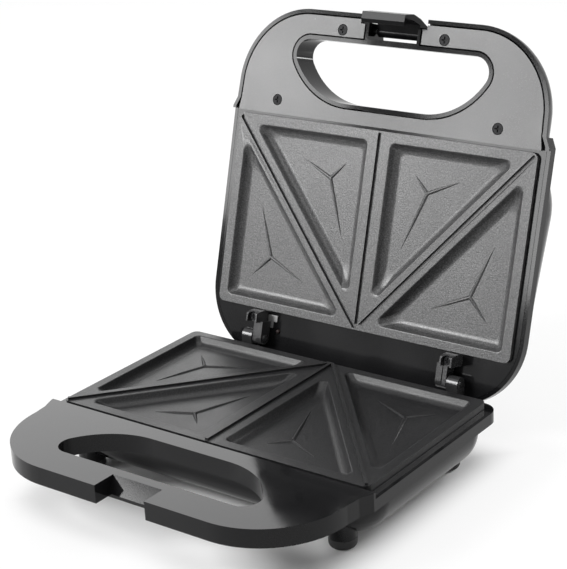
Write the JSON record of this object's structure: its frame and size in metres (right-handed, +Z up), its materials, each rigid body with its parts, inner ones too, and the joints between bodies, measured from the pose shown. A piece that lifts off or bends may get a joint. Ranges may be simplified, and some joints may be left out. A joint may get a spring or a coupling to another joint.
{
  "type": "sandwich toaster",
  "caption": "Hinged countertop sandwich toaster with triangular pockets in both plates, open hand grips and a front latch clip, lid standing open.",
  "frame": {"origin": "on the surface it stands on, under the middle of the bounding box with the lid open", "axes": "+Z up, the hand grip of the base points to -Y, +X to the right seen from the grip"},
  "size_m": [0.231, 0.2918, 0.2447],
  "materials": {
    "black_gloss": "high gloss moulded plastic",
    "cover_gloss": "glossy moulded panel",
    "black_satin": "satin moulded plastic",
    "nonstick": "non-stick coating on cast aluminium",
    "steel": "plain steel",
    "dark_steel": "blackened steel",
    "sheet": "bright sheet",
    "element": "heat-dulled metal sheath",
    "ceramic": "glazed ceramic",
    "brass": "bright brass",
    "rubber": "matt rubber",
    "wire": "silicone sleeve",
    "lens_red": "clear tinted plastic",
    "bulb": "clear glass"
  },
  "bodies": {
    "base": {"base_casing": "black_gloss", "base_deck": "black_gloss", "lower_plate": "nonstick", "lower_heater": "element", "lower_reflector": "sheet", "lower_plate_screws": "steel", "lower_tray_screws": "steel", "thermostat": "ceramic", "thermal_fuse": "brass", "terminal_block": "ceramic", "cord_gland": "rubber", "base_wiring": "wire", "grip_screws": "dark_steel", "feet": "rubber", "hinge_brackets": "black_satin", "bracket_screws": "steel", "hinge_pins": "steel"},
    "lid": {"lid_casing": "black_gloss", "lid_frame": "black_satin", "lid_cover": "cover_gloss", "upper_plate": "nonstick", "upper_heater": "element", "upper_reflector": "sheet", "upper_plate_screws": "steel", "upper_tray_screws": "steel", "cover_screws": "dark_steel", "hinge_arms": "black_satin", "arm_screws": "steel", "lead_clip": "black_satin", "lid_wiring": "wire", "lamp_lenses": "lens_red", "lamp_bulbs": "bulb", "latch_pin": "steel"},
    "latch": {"latch_clip": "black_gloss"}
  },
  "joints": [
    {"name": "lid_hinge", "type": "hinge", "parent": "base", "child": "lid", "pos_m": [0, 0.0691, 0.0371], "axis": [1, 0, 0], "range_deg": [0, 106.4]},
    {"name": "latch_pivot", "type": "hinge", "parent": "lid", "child": "latch", "pos_m": [0, 0.13871, 0.22791], "axis": [-1, 0, 0], "range_deg": [-8, 50]}
  ]
}
